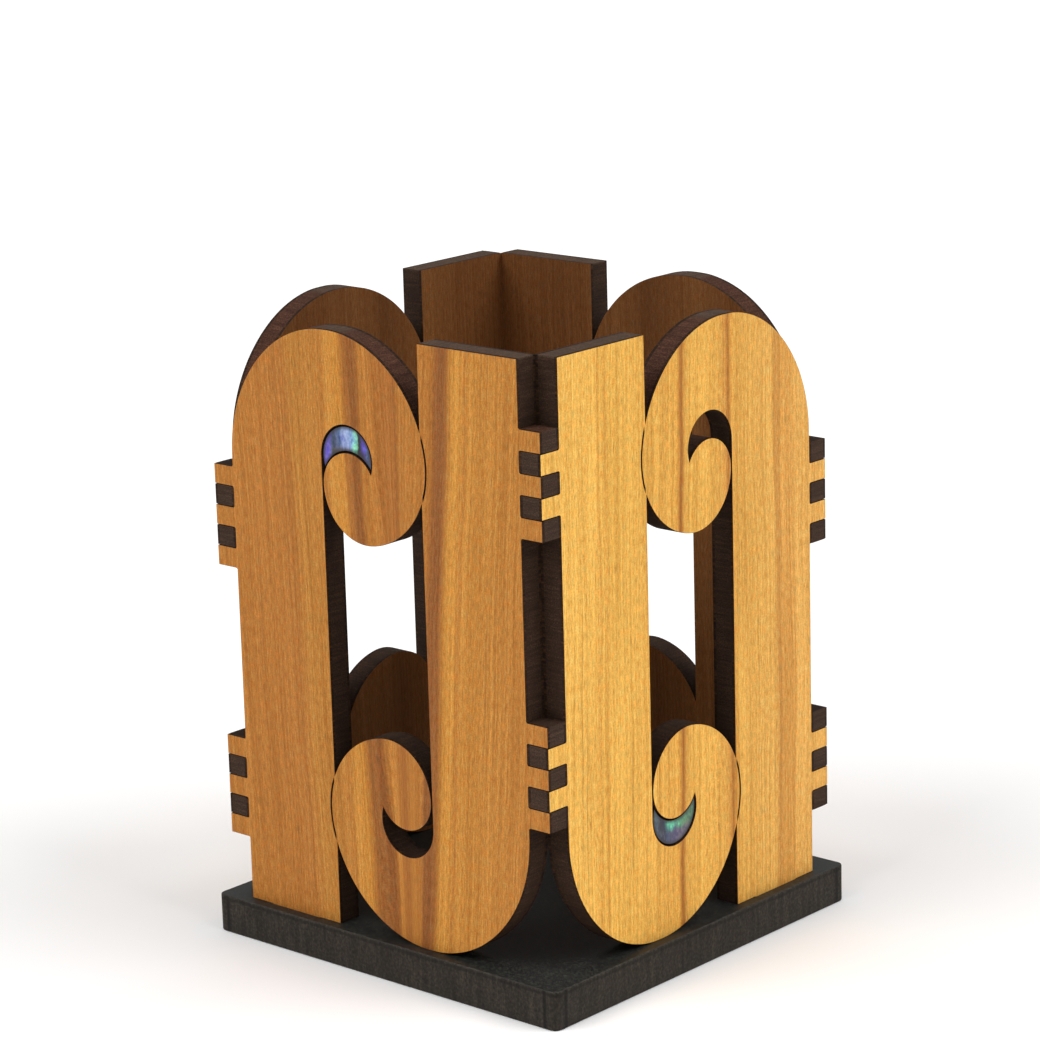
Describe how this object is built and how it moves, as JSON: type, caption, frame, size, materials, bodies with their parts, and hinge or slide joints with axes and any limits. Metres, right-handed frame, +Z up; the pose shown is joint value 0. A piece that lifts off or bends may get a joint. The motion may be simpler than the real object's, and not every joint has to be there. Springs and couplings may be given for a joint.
{
  "type": "pen holder",
  "caption": "Open square desk pen holder: four spiral-fretwork veneered panels finger-jointed at the corners, with shell inlays, on a flat base plate.",
  "frame": {"origin": "centre of the base plate's underside", "axes": "+Z up; the front panel faces -Y and the right panel faces +X; every panel's arch is on the left seen from outside on front and back, on the right on the other two"},
  "size_m": [0.0698, 0.0698, 0.0983],
  "materials": {
    "base_board": "matt stained fibreboard",
    "panel_board": "matt laser-cut fibreboard edge",
    "wood_veneer": "oiled straight-grained veneer",
    "shell": "polished iridescent shell"
  },
  "bodies": {
    "root": {"base_plate": "base_board", "front_core": "panel_board", "front_outer_veneer": "wood_veneer", "front_inner_veneer": "wood_veneer", "front_shell_inlay": "shell", "right_core": "panel_board", "right_outer_veneer": "wood_veneer", "right_inner_veneer": "wood_veneer", "right_shell_inlay": "shell", "back_core": "panel_board", "back_outer_veneer": "wood_veneer", "back_inner_veneer": "wood_veneer", "back_shell_inlay": "shell", "left_core": "panel_board", "left_outer_veneer": "wood_veneer", "left_inner_veneer": "wood_veneer", "left_shell_inlay": "shell"}
  },
  "joints": []
}
